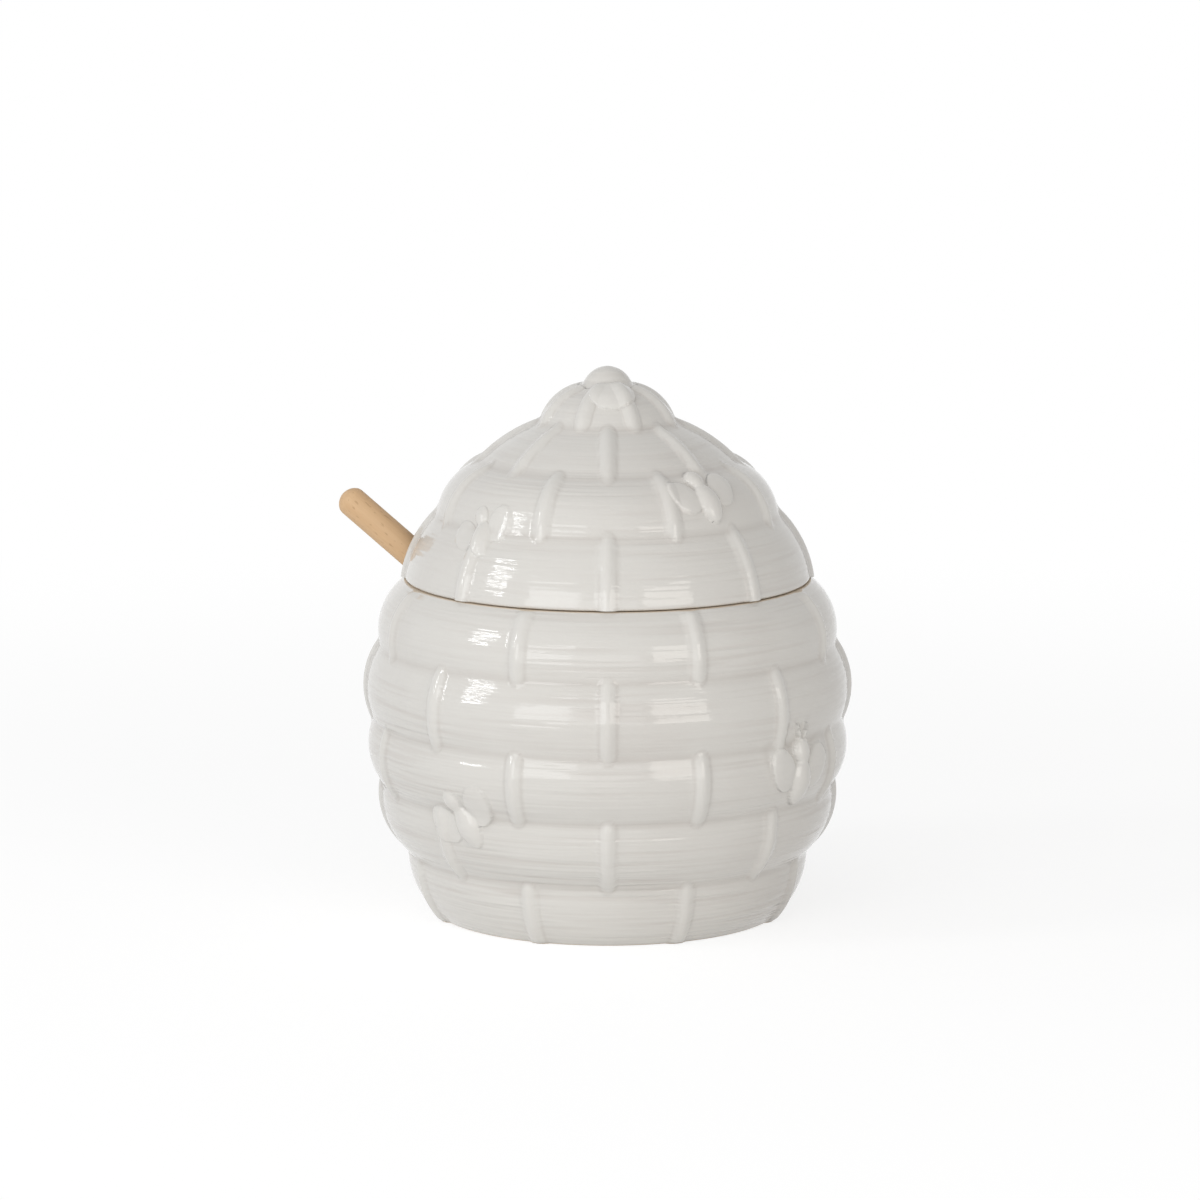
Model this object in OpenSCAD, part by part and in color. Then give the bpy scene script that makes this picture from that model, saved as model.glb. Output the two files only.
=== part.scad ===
// Beehive honey pot: a pot of stacked coils, a lift-off lid with a notch, and a wooden dipper.
// The pot's foot stands on z = 0, centred on the origin, and its front faces -Y.

/* [Pot] */
// Height of the pot, from the table to the joint with the lid
pot_h = 87.4; // [74:0.1:106]
// Radius where the foot meets the table
foot_r = 45.2; // [38:0.1:54]
// Radius at the widest crease between two coils
belly_r = 60.9; // [56:0.1:74]
// Radius at the joint with the lid
joint_r = 52.7; // [46:0.1:60]
// Heights of the pot's creases, as shares of its height
pot_crease_up = [0.191, 0.392, 0.588, 0.806]; // [0.1:0.001:0.9]
// Radii of the pot's creases, as shares of the widest one
pot_crease_out = [0.857, 0.961, 1, 0.972]; // [0.7:0.001:1]
// Swell of the lowest coil beyond a straight line
foot_swell = 1.9; // [0.5:0.05:3]
// Swell of the other four coils beyond a straight line
pot_swell = [2.55, 2.6, 2.5, 2.95]; // [0.5:0.05:4]
// Wall of the pot at its thinnest, behind a crease
wall_t = 3.6; // [2.5:0.1:6]
// Floor of the pot
floor_t = 6; // [4:0.1:9]
// Flat rim that the lid rests on
rim_w = 4.2; // [3:0.1:6]
// Width of the ring that the pot stands on
foot_ring_w = 5; // [3:0.5:10]
// Depth of the hollow inside that ring
foot_hollow = 1.2; // [0.5:0.1:2.5]

/* [Lid] */
// Height of the lid, from the joint to the foot of its knob
lid_h = 49.6; // [42:0.1:60]
// Heights of the lid's creases, as shares of its height
lid_crease_up = [0.339, 0.614, 0.819]; // [0.1:0.001:0.95]
// Radii of the lid's creases, as shares of the joint's radius
lid_crease_out = [0.843, 0.628, 0.338]; // [0.1:0.001:1]
// Radius at the foot of the knob
knob_foot_r = 7.6; // [6:0.1:10]
// Swell of the lid's coils beyond a straight line
lid_swell = [1.55, 2.7, 1.1, 1.7]; // [0.5:0.05:4]
// Radius of the knob
knob_r = 6.7; // [5:0.1:9]
// Wall of the lid at its thinnest, behind a crease
lid_t = 4; // [3:0.1:6]
// Depth of the ring that locates the lid in the pot's mouth
flange_h = 6; // [4:0.5:10]
// Thickness of that ring
flange_t = 3.2; // [2.5:0.1:5]
// Clearance between that ring and the mouth
flange_gap = 0.8; // [0.4:0.1:1.5]
// How far that ring's straight inside runs on above the joint
flange_up = 3.6; // [2:0.1:6]
// Gap left at the joint by the unglazed edges
joint_gap = 0.25; // [0.1:0.05:0.6]

/* [Straps] */
// Straps round each coil
straps = 8; // [6:2:12]
// Radius of a strap's round section
strap_r = 2.8; // [2:0.1:4]
// How far a strap stands out of its coil
strap_rise = 1.1; // [0.6:0.1:2]

/* [Bees] */
// Length of a bee's body
bee_l = 15.5; // [10:0.5:20]
// How far a bee's body stands out
bee_rise = 1.9; // [1:0.1:3]

/* [Dipper] */
// Whole length of the dipper
dipper_l = 149; // [136:1:170]
// Diameter of the handle
handle_d = 7.8; // [6:0.1:10]
// Height of the handle's domed tip
tip_h = 2.6; // [1:0.1:3.5]
// Diameter of the head
head_d = 24; // [18:0.5:30]
// Radius of the head's two ends
head_end_r = 7.4; // [5.5:0.1:9]
// Length of the head
head_l = 30; // [24:0.5:40]
// Grooves round the head
grooves = 6; // [4:1:7]
// Width of a groove
groove_w = 2.2; // [1.5:0.1:2.6]
// Diameter of the wood left inside the grooves
core_d = 11.6; // [10:0.2:14]
// Depth of the hole that holds the handle
socket_h = 13; // [8:0.5:18]
// Clearance all round the handle in that hole
glue_gap = 0.05; // [0:0.01:0.2]
// Direction in which the handle leaves the pot, in degrees from +X
dipper_az = 171; // [165:0.5:177]
// Clearance between the dipper and what it leans on
lean_gap = 0.3; // [0.2:0.05:0.6]
// How deep the handle lies in the saddle across the rim
saddle_sink = 1.3; // [0:0.1:2]
// Clearance beside the handle in the lid's notch
notch_gap = 1.4; // [0.8:0.1:2.5]

/* [Hidden] */
glaze = [0.85, 0.84, 0.82];
handle_wood = [0.87, 0.72, 0.53];
head_wood = [0.80, 0.64, 0.45];
fine = 96;
clear = 1;          // how far a cutter runs past what it cuts
turn = 360 / straps;
strap_end = 3.2;    // how far a strap runs on into the next coil
crease_lap = 0.4;   // how far the round of a coil runs on past a crease

// Outline points, each [radius, height], from the table up
mouth_r = joint_r - rim_w;
pot_points = concat(
    [[foot_r, 0]],
    [for (i = [0:3]) [pot_crease_out[i] * belly_r, pot_crease_up[i] * pot_h]],
    [[joint_r, pot_h]]);
lid_z = pot_h + joint_gap;
knob_foot_z = lid_z + lid_h;
lid_points = concat(
    [[joint_r, lid_z]],
    [for (i = [0:2]) [lid_crease_out[i] * joint_r, lid_z + lid_crease_up[i] * lid_h]],
    [[knob_foot_r, knob_foot_z]]);
pot_coils = coils(pot_points, concat([foot_swell], pot_swell));
lid_coils = coils(lid_points, lid_swell);
knob_z = knob_foot_z - 1;

// Bees, each [coil counted from the lowest, share of the way up it, direction,
// tilt of the head to the left, slope of the back, lift out of a crease]
pot_bees = [[2, 0, 232, 30, -14, 1.3], [2, 0.5, 323, -4, -8, 0], [3, 0.55, 78, 20, 5, 0]];
lid_bees = [[1, 0, 225, 26, 33, 1], [1, 0.55, 310, 4, 39, 0], [1, 0.5, 105, -25, 39, 0]];

// A coil is [centre radius, centre height, arc radius, low angle, high angle]
function coils(points, swell) =
    [for (i = [0:len(swell) - 1]) coil(points[i], points[i + 1], swell[i])];
function coil(a, b, h) =
    let (chord = norm(b - a),
         out = [b[1] - a[1], a[0] - b[0]] / chord,
         rho = (chord * chord / 4 + h * h) / (2 * h),
         c = (a + b) / 2 + out * (h - rho))
    [c[0], c[1], rho, atan2(a[1] - c[1], a[0] - c[0]), atan2(b[1] - c[1], b[0] - c[0])];
function on_coil(k, angle, off = 0) =
    [k[0] + (k[2] + off) * cos(angle), k[1] + (k[2] + off) * sin(angle)];

// The pot's inside is one arc through three points behind the outline
inner_low = pot_points[1] - [wall_t, 0];
inner_belly = pot_points[3] - [wall_t, 0];
inner_arc = circle_through(inner_low, inner_belly, [mouth_r, pot_h]);
function circle_through(a, b, c) =
    let (d = 2 * (a[0] * (b[1] - c[1]) + b[0] * (c[1] - a[1]) + c[0] * (a[1] - b[1])),
         x = (a * a * (b[1] - c[1]) + b * b * (c[1] - a[1]) + c * c * (a[1] - b[1])) / d,
         y = (a * a * (c[0] - b[0]) + b * b * (a[0] - c[0]) + c * c * (b[0] - a[0])) / d)
    [x, y, norm(a - [x, y])];
function inner_r(z) = inner_arc[0] + sqrt(pow(inner_arc[2], 2) - pow(z - inner_arc[1], 2));

// The lid's inside is part of a ball that passes behind its two lower creases
dome_low = lid_points[1] - [lid_t, 0];
dome_high = lid_points[2] - [lid_t, 0];
dome_z = (dome_high * dome_high - dome_low * dome_low) / (2 * (dome_high[1] - dome_low[1]));
dome_r = norm(dome_low - [0, dome_z]);
flange_r = mouth_r - flange_gap;
flange_top = lid_z + flange_up;

// The dipper lies in the plane of dipper_az. Its head rests in the far corner of the pot's
// floor, and its handle in the saddle on the rim. The lean settles in a few rounds.
rim_mid = joint_r - rim_w / 2;
head_half = head_l / 2;
head_r = head_d / 2;
head_sag = head_r - head_end_r;
head_side = (head_half * head_half + head_sag * head_sag) / (2 * head_sag);
function barrel_r(s) = head_r - head_side + sqrt(head_side * head_side - s * s);
function head_edge(a, s, up) =
    [s * cos(a) + up * barrel_r(s) * sin(a), up * barrel_r(s) * cos(a) - s * sin(a)];
function head_z(a) = floor_t + lean_gap - min([for (s = [0:head_half]) head_edge(a, s, -1)[1]]);
function head_out(a) =
    min([for (s = [-head_half:head_half], up = [-1, 1])
        inner_r(head_z(a) + head_edge(a, s, up)[1]) - head_edge(a, s, up)[0]])
    - lean_gap;
function seat_z(a) = pot_h - saddle_sink + (handle_d / 2 + lean_gap) / cos(a);
function settle(a, rounds) =
    rounds == 0 ? a
    : settle(atan2(seat_z(a) - head_z(a), rim_mid + head_out(a)), rounds - 1);
lean = settle(40, 12);
head_place = [-head_out(lean), head_z(lean)];
handle_z_at_joint = seat_z(lean) + (joint_r - rim_mid) * tan(lean);
notch_w = handle_d + 2 * notch_gap;
notch_top = handle_z_at_joint + handle_d / 2 / cos(lean) + notch_gap;

function lapped(a, b) = (b - a) / norm(b - a) * crease_lap;

module spun() {
    // Turned about the pot's axis, starting midway between two straps
    rotate([0, 0, turn / 4])
        rotate_extrude($fn = fine)
            children();
}

module outline(points, coil_list, top_in = 0) {
    // Straight core a little behind the creases, and a round segment for each coil. Both run
    // on past the two ends, and top_in draws in the core's top corner where it is cut away
    last = len(points) - 1;
    low = points[0] - lapped(points[0], points[1]) - [crease_lap, 0];
    high = points[last] + lapped(points[last - 1], points[last]) - [top_in, 0];
    behind = [for (i = [1:last - 1]) points[i] - [crease_lap, 0]];
    polygon(concat([[0, low[1]], low], behind, [high, [0, high[1]]]));
    for (i = [0:last - 1])
        coil_segment(points[i], points[i + 1], coil_list[i]);
}

module coil_segment(a, b, k) {
    // Neighbouring segments lap, so that their arcs cross at the crease
    lap = lapped(a, b);
    out = [lap[1], -lap[0]] / crease_lap;
    low = a - lap;
    high = b + lap;
    deep = strap_r;
    intersection() {
        translate([k[0], k[1]]) circle(k[2], $fn = fine);
        polygon([low - out * deep, low + out * deep * 2, high + out * deep * 2, high - out * deep]);
    }
}

module strap(k, azimuth) {
    // A round rod bent along the coil, sunk so that only its back shows, with both ends buried
    reach = strap_end / k[2] * 180 / PI;
    rotate([0, 0, azimuth])
        translate([k[0], 0, k[1]])
            rotate([90, 0, 0])
                rotate([0, 0, k[3] - reach])
                    rotate_extrude(angle = k[4] - k[3] + 2 * reach, $fn = fine)
                        translate([k[2] + strap_rise - strap_r, 0])
                            circle(strap_r, $fn = 32);
}

module coil_straps(coil_list, first_offset) {
    // The straps of one coil stand over the gaps between those of the next
    for (i = [0:len(coil_list) - 1], s = [0:straps - 1])
        strap(coil_list[i], (s + ((i + first_offset) % 2) / 2) * turn);
}

module bees(coil_list, bee_list) {
    for (b = bee_list)
        on_coils(coil_list[b[0]], b[1], b[2], b[4], b[5])
            bee(b[3]);
}

module on_coils(k, up, azimuth, slope, lift) {
    // Local x points out of the clay, and local z up along it
    p = on_coil(k, k[3] + (k[4] - k[3]) * up);
    rotate([0, 0, azimuth])
        translate([p[0], 0, p[1]])
            rotate([0, -slope, 0])
                translate([lift, 0, 0])
                    children();
}

module bee(swing) {
    // Head up at swing 0, half sunk in the clay, with two wings swept back
    body_r = bee_l * 0.15;
    wing_r = bee_l * 0.13;
    rotate([swing, 0, 0]) {
        translate([bee_rise - body_r, 0, 0]) {
            translate([0, 0, bee_l * 0.38]) sphere(body_r * 0.75, $fn = 32);
            translate([0, 0, bee_l * 0.15]) sphere(body_r, $fn = 32);
            translate([0, 0, -bee_l * 0.18]) lemon(body_r * 1.15, bee_l * 0.32);
        }
        for (side = [-1, 1])
            translate([bee_rise * 0.55 - wing_r, side * bee_l * 0.22, -bee_l * 0.08])
                rotate([side * 34, 0, 0])
                    lemon(wing_r, bee_l * 0.3);
    }
}

module lemon(girth_r, half) {
    // A pointed oval, spun from one arc
    rho = (half * half + girth_r * girth_r) / (2 * girth_r);
    rotate_extrude($fn = 48)
        intersection() {
            translate([girth_r - rho, 0]) circle(rho, $fn = fine);
            translate([0, -half]) square([girth_r * 2, half * 2]);
        }
}

module pot() {
    color(glaze)
        difference() {
            union() {
                spun() outline(pot_points, pot_coils, crease_lap);
                coil_straps(pot_coils, 1);
                bees(pot_coils, pot_bees);
            }
            spun() pot_hollow();
            translate([0, 0, -strap_r * 2])
                cylinder(h = strap_r * 2, r = foot_r + strap_r * 2, $fn = fine);
            translate([0, 0, pot_h])
                cylinder(h = strap_r * 2, r = joint_r + strap_r * 2, $fn = fine);
            along_dipper()
                cylinder(h = dipper_l, r = handle_d / 2 + lean_gap, $fn = fine);
        }
}

module pot_hollow() {
    intersection() {
        translate([inner_arc[0], inner_arc[1]]) circle(inner_arc[2], $fn = fine * 2);
        translate([0, floor_t]) square([belly_r, pot_h]);
    }
    translate([0, -clear]) square([foot_r - foot_ring_w, foot_hollow + clear]);
}

module along_dipper() {
    // Local z runs from the low end of the head to the handle's tip, with 0 at the head's middle
    rotate([0, 0, dipper_az])
        translate([head_place[0], 0, head_place[1]])
            rotate([0, 90 - lean, 0])
                children();
}

module lid() {
    color(glaze)
        difference() {
            union() {
                lid_coils_cut();
                translate([0, 0, knob_z])
                    sphere(knob_r, $fn = fine);
                translate([0, 0, lid_z - flange_h])
                    cylinder(h = flange_h + clear, r = flange_r, $fn = fine);
            }
            spun() lid_hollow();
            notch();
        }
}

module lid_coils_cut() {
    // Coils, straps and bees, cut flat at the joint
    difference() {
        union() {
            spun() outline(lid_points, lid_coils);
            coil_straps(lid_coils, 0);
            bees(lid_coils, lid_bees);
        }
        translate([0, 0, lid_z - strap_r * 2])
            cylinder(h = strap_r * 2, r = joint_r + strap_r * 2, $fn = fine);
    }
}

module lid_hollow() {
    intersection() {
        translate([0, dome_z]) circle(dome_r, $fn = fine * 2);
        translate([0, flange_top]) square([joint_r, lid_h]);
    }
    translate([0, lid_z - flange_h - clear])
        square([flange_r - flange_t, flange_top - lid_z + flange_h + 2 * clear]);
}

module notch() {
    // A round-topped slot through the lid's edge, open below
    low = lid_z - flange_h - clear;
    round_z = notch_top - notch_w / 2;
    rotate([0, 0, dipper_az])
        translate([mouth_r - rim_w * 3, 0, 0])
            rotate([90, 0, 90])
                linear_extrude(rim_w * 6) {
                    translate([0, round_z]) circle(notch_w / 2, $fn = fine);
                    translate([-notch_w / 2, low]) square([notch_w, round_z - low]);
                }
}

module dipper_handle() {
    tip_z = dipper_l - head_half;
    foot_z = head_half - socket_h;
    shank_r = handle_d / 2;
    tip_ball = (shank_r * shank_r + tip_h * tip_h) / (2 * tip_h);
    color(handle_wood)
        along_dipper() {
            translate([0, 0, foot_z]) cylinder(h = tip_z - tip_h - foot_z, r = shank_r, $fn = fine);
            intersection() {
                translate([0, 0, tip_z - tip_ball]) sphere(tip_ball, $fn = fine);
                translate([0, 0, tip_z - tip_h - clear]) cylinder(h = tip_h + clear * 2, r = shank_r, $fn = fine);
            }
        }
}

module dipper_head() {
    // Barrel outline with rounded ends, turned grooves, and a blind hole for the handle
    pitch = (head_l - groove_w) / (grooves + 1);
    color(head_wood)
        along_dipper()
            rotate_extrude($fn = fine)
                difference() {
                    intersection() {
                        translate([head_r - head_side, 0]) circle(head_side, $fn = fine * 2);
                        translate([0, -head_half]) square([head_r, head_l]);
                    }
                    for (i = [1:grooves])
                        translate([core_d / 2, -head_l / 2 + pitch * i])
                            square([head_r, groove_w]);
                    translate([0, head_half - socket_h])
                        square([handle_d / 2 + glue_gap, socket_h + clear]);
                }
}

pot();
lid();
dipper_handle();
dipper_head();
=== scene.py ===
import math

import bpy
import numpy as np
from mathutils import Matrix, Vector


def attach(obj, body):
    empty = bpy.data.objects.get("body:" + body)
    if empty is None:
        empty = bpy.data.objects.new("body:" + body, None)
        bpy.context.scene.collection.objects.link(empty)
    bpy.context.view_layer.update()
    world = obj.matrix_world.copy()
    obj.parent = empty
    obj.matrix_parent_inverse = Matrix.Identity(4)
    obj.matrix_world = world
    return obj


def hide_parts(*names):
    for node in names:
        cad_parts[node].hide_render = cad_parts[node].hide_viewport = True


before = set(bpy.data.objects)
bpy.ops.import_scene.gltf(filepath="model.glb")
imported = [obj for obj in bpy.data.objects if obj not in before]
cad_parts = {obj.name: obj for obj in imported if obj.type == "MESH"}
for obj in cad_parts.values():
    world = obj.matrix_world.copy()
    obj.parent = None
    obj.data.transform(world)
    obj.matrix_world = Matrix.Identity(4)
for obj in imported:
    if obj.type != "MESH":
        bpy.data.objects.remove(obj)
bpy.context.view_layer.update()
mm = 0.001
mergeReach = 0.02 * mm
farBelow = -9 * mm
roundsOfSoftening = 5
print("stage: frame loaded")


# Selecting and measuring

def deselectAll():
    if bpy.context.object and bpy.context.object.mode != "OBJECT":
        bpy.ops.object.mode_set(mode="OBJECT")
    bpy.ops.object.select_all(action="DESELECT")


def makeActive(piece):
    deselectAll()
    piece.select_set(True)
    bpy.context.view_layer.objects.active = piece


def vertexPlaces(piece):
    places = np.empty(len(piece.data.vertices) * 3)
    piece.data.vertices.foreach_get("co", places)
    return places.reshape(-1, 3)


def moveVertices(piece, places):
    piece.data.vertices.foreach_set("co", places.ravel())
    piece.data.update()


def selectWhere(piece, chosen, kind="FACE"):
    # chosen takes the middles of the faces, or the places of the vertices, as rows of x, y, z
    makeActive(piece)
    bpy.ops.object.mode_set(mode="EDIT")
    bpy.ops.mesh.select_mode(type=kind)
    bpy.ops.mesh.select_all(action="DESELECT")
    bpy.ops.object.mode_set(mode="OBJECT")
    parts = piece.data.polygons if kind == "FACE" else piece.data.vertices
    places = np.empty(len(parts) * 3)
    parts.foreach_get("center" if kind == "FACE" else "co", places)
    parts.foreach_set("select", chosen(places.reshape(-1, 3)))
    bpy.ops.object.mode_set(mode="EDIT")


def softLarger(a, b, blend):
    # the larger of two heights, with a fillet where they cross
    gap = np.clip(blend - np.abs(a - b), 0, None)
    return np.maximum(a, b) + gap * gap / (4 * blend)


# The clay's outline: rounds between creases

straps = {
    "aroundEachCoil": 8,
    "radius": 2.8 * mm,
    "rise": 1.05 * mm,
    "runOn": 3.2 * mm,
    "fillet": 0.8 * mm,
    "lap": 0.06,
    "skin": 1.2 * mm,
}
strapTurn = 2 * math.pi / straps["aroundEachCoil"]

pot = {
    "height": 87.4 * mm,
    "footRadius": 45.2 * mm,
    "bellyRadius": 60.9 * mm,
    "jointRadius": 52.7 * mm,
    "creaseUp": [0.191, 0.392, 0.588, 0.806],
    "creaseOut": [0.857, 0.961, 1, 0.972],
    "swells": [1.9 * mm, 2.55 * mm, 2.6 * mm, 2.5 * mm, 2.95 * mm],
    "wall": 3.6 * mm,
    "floor": 6 * mm,
    "floorFillet": 3 * mm,
    "rimWidth": 4.2 * mm,
    "footRing": 5 * mm,
    "footHollow": 1.2 * mm,
    "edge": 0.8 * mm,
    "outlineFrom": 1.3 * mm,
    "outlineShortOfRim": 1.2 * mm,
    "fineStep": 0.75 * mm,
    "coarseStep": 6 * mm,
    "columns": 400,
    "fineReaches": (12.5 * mm, 10.5 * mm),
}
lid = {
    "jointGap": 0.25 * mm,
    "height": 49.6 * mm,
    "creaseUp": [0.339, 0.614, 0.819],
    "creaseOut": [0.843, 0.628, 0.338],
    "knobFootRadius": 7.6 * mm,
    "swells": [1.55 * mm, 2.7 * mm, 1.1 * mm, 1.7 * mm],
    "knobRadius": 6.7 * mm,
    "knobSink": 1 * mm,
    "knobArcFrom": 12,
    "wall": 4 * mm,
    "flangeDepth": 6 * mm,
    "flangeThickness": 3.2 * mm,
    "flangeGap": 0.8 * mm,
    "flangeUp": 3.6 * mm,
    "edge": 0.7 * mm,
    "outlineFrom": 1.1 * mm,
    "fineStep": 0.7 * mm,
    "coarseStep": 4 * mm,
    "columns": 352,
    "fineReaches": (11 * mm, 8 * mm),
}


def coilRound(low, high, swell):
    # centre and radius of the arc that swells out between two creases, and its two angles
    along = high - low
    chord = np.hypot(*along)
    out = np.array([along[1], -along[0]]) / chord
    radius = (chord * chord / 4 + swell * swell) / (2 * swell)
    centre = (low + high) / 2 + out * (swell - radius)
    angles = [math.atan2(*(end - centre)[::-1]) for end in (low, high)]
    return {"centre": centre, "radius": radius, "low": angles[0], "high": angles[1]}


def arcPoints(centre, radius, start, end, step):
    count = max(2, round(abs(end - start) * radius / step))
    angles = np.linspace(start, end, count + 1)
    return [centre + radius * np.array([math.cos(a), math.sin(a)]) for a in angles]


def softened(points, rounds):
    # each round draws every point a little towards its neighbours, which rounds the creases
    points = np.array(points)
    for _ in range(rounds):
        middle = (points[:-2] + points[2:]) / 2
        points[1:-1] += (middle - points[1:-1]) * 0.5
    return points


def coilsPath(rounds, step):
    points = []
    for coil in rounds:
        stretch = arcPoints(coil["centre"], coil["radius"], coil["low"], coil["high"], step)
        points += stretch if not points else stretch[1:]
    return softened(points, roundsOfSoftening)


def corner(points, radius, steps=3):
    # rounds the middle one of three points, each a pair of radius and height
    before, at, after = [np.array(p, float) for p in points]
    back = before - at
    on = after - at
    back /= np.hypot(*back)
    on /= np.hypot(*on)
    half = math.acos(np.clip(back @ on, -1, 1)) / 2
    reach = radius / math.tan(half)
    middle = (back + on) / np.hypot(*(back + on))
    centre = at + middle * radius / math.sin(half)
    start = at + back * reach - centre
    end = at + on * reach - centre
    turn = math.atan2(start[0] * end[1] - start[1] * end[0], start @ end)
    first = math.atan2(start[1], start[0])
    angles = [first + turn * i / steps for i in range(steps + 1)]
    return [centre + radius * np.array([math.cos(angle), math.sin(angle)]) for angle in angles]


def circleThrough(a, b, c):
    # centre and radius of the circle through three points
    rows = np.array([b - a, c - a])
    centre = a + np.linalg.solve(2 * rows, (rows * rows).sum(axis=1))
    return centre, np.hypot(*(a - centre))


def spunPiece(name, path, columns):
    # one vertex, extruded from point to point in the XZ plane, then turned about the pot's axis
    deselectAll()
    bpy.ops.mesh.primitive_plane_add(size=0.001)
    piece = bpy.context.object
    piece.name = piece.data.name = name
    bpy.ops.object.mode_set(mode="EDIT")
    bpy.ops.mesh.select_mode(type="VERT")
    bpy.ops.mesh.select_all(action="SELECT")
    bpy.ops.mesh.merge(type="CENTER")
    here = np.zeros(2)
    for number, point in enumerate(path):
        step = (point[0] - here[0], 0, point[1] - here[1])
        if number == 0:
            bpy.ops.transform.translate(value=step)
        else:
            bpy.ops.mesh.extrude_vertices_move(TRANSFORM_OT_translate={"value": step})
        here = point
    bpy.ops.object.mode_set(mode="OBJECT")
    turned = piece.modifiers.new("turned", "SCREW")
    turned.axis = "Z"
    turned.angle = 2 * math.pi
    turned.steps = turned.render_steps = columns
    turned.use_merge_vertices = True
    turned.merge_threshold = mergeReach
    bpy.ops.object.modifier_apply(modifier="turned")
    bpy.ops.object.mode_set(mode="EDIT")
    bpy.ops.mesh.select_all(action="SELECT")
    bpy.ops.mesh.remove_doubles(threshold=mergeReach)
    bpy.ops.mesh.normals_make_consistent(inside=False)
    bpy.ops.object.mode_set(mode="OBJECT")
    return piece


def creasePoints(footRadius, footHeight, shares, topRadius, height, widest):
    # the foot, the creases and the top, each a pair of radius and height
    points = [[footRadius, footHeight]]
    for up, out in zip(shares["creaseUp"], shares["creaseOut"]):
        points.append([out * widest, footHeight + up * height])
    return [np.array(point) for point in points + [[topRadius, footHeight + height]]]


potCreases = creasePoints(pot["footRadius"], 0, pot, pot["jointRadius"], pot["height"], pot["bellyRadius"])
potCoils = [coilRound(*ends, swell) for *ends, swell in zip(potCreases, potCreases[1:], pot["swells"])]
lidFoot = pot["height"] + lid["jointGap"]
lidCreases = creasePoints(pot["jointRadius"], lidFoot, lid, lid["knobFootRadius"], lid["height"],
                          pot["jointRadius"])
lidCoils = [coilRound(*ends, swell) for *ends, swell in zip(lidCreases, lidCreases[1:], lid["swells"])]
mouthRadius = pot["jointRadius"] - pot["rimWidth"]
flangeRadius = mouthRadius - lid["flangeGap"]


def potPath():
    # from the middle of the foot's hollow, out and up over the coils, in over the rim, and down inside
    ringIn = pot["footRadius"] - pot["footRing"]
    wall = np.array([pot["wall"], 0])
    mouth = np.array([mouthRadius, pot["height"]])
    centre, radius = circleThrough(potCreases[1] - wall, potCreases[3] - wall, mouth)
    floorRadius = centre[0] + math.sqrt(radius ** 2 - (pot["floor"] - centre[1]) ** 2)
    floorEdge = np.array([floorRadius, pot["floor"]])
    top = math.atan2(pot["height"] - centre[1], mouthRadius - centre[0])
    low = math.atan2(floorEdge[1] - centre[1], floorEdge[0] - centre[0])
    inside = arcPoints(centre, radius, top, low, pot["coarseStep"])
    outside = coilsPath(potCoils, pot["fineStep"])
    footEdge = [(ringIn, 0), outside[0], outside[3]]
    rimOut = [outside[-3], (pot["jointRadius"], pot["height"]), (mouthRadius, pot["height"])]
    rimIn = [rimOut[1], rimOut[2], inside[1]]
    path = [(0, pot["footHollow"]), (ringIn * 0.5, pot["footHollow"])]
    path += corner([path[1], (ringIn, pot["footHollow"]), (ringIn, 0)], pot["footHollow"] * 0.4)
    path += corner([(ringIn, pot["footHollow"]), (ringIn, 0), footEdge[1]], pot["footHollow"] * 0.4)
    path += corner(footEdge, pot["edge"])
    rimSide = pot["height"] - pot["outlineShortOfRim"]
    path += [point for point in outside if pot["outlineFrom"] < point[1] < rimSide]
    path += corner(rimOut, pot["edge"], 4)
    path += corner(rimIn, pot["edge"], 4)
    path += inside[1:-1]
    path += corner([inside[-2], floorEdge, (0, pot["floor"])], pot["floorFillet"], 5)
    return path + [(mouthRadius * 0.5, pot["floor"]), (0, pot["floor"])]


def lidPath():
    # from the top of the knob down over the coils, in under the edge, round the flange and up inside
    knobHeight = lidCreases[-1][1] - lid["knobSink"]
    knobCentre = np.array([0, knobHeight])
    knobArc = arcPoints(knobCentre, lid["knobRadius"], math.pi / 2,
                        math.radians(lid["knobArcFrom"]), lid["fineStep"])
    outside = coilsPath(lidCoils, lid["fineStep"])[::-1]
    upper = softened(np.array(knobArc + list(outside[1:])), roundsOfSoftening)
    edge = [upper[-3], (pot["jointRadius"], lidFoot), (flangeRadius, lidFoot)]
    flangeLow = lidFoot - lid["flangeDepth"]
    flangeIn = flangeRadius - lid["flangeThickness"]
    flangeTop = lidFoot + lid["flangeUp"]
    low = lidCreases[1] - [lid["wall"], 0]
    high = lidCreases[2] - [lid["wall"], 0]
    domeHeight = (high @ high - low @ low) / (2 * (high[1] - low[1]))
    domeRadius = math.hypot(low[0], low[1] - domeHeight)
    start = math.asin((flangeTop - domeHeight) / domeRadius)
    dome = arcPoints(np.array([0, domeHeight]), domeRadius, start, math.pi / 2, lid["coarseStep"])
    path = [point for point in upper if point[1] > lidFoot + lid["outlineFrom"]]
    path += corner(edge, lid["edge"], 4)
    path += corner([edge[1], edge[2], (flangeRadius, flangeLow)], lid["edge"] * 0.6)
    path += corner([edge[2], (flangeRadius, flangeLow), (flangeIn, flangeLow)], lid["edge"] * 1.4, 4)
    path += corner([(flangeRadius, flangeLow), (flangeIn, flangeLow), (flangeIn, flangeTop)],
                   lid["edge"] * 1.4, 4)
    path += [(flangeIn, flangeTop - 0.5 * mm)] + dome[1:-1]
    return path + [(0, domeHeight + domeRadius)]


# The relief: straps over the coils, and bees

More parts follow.
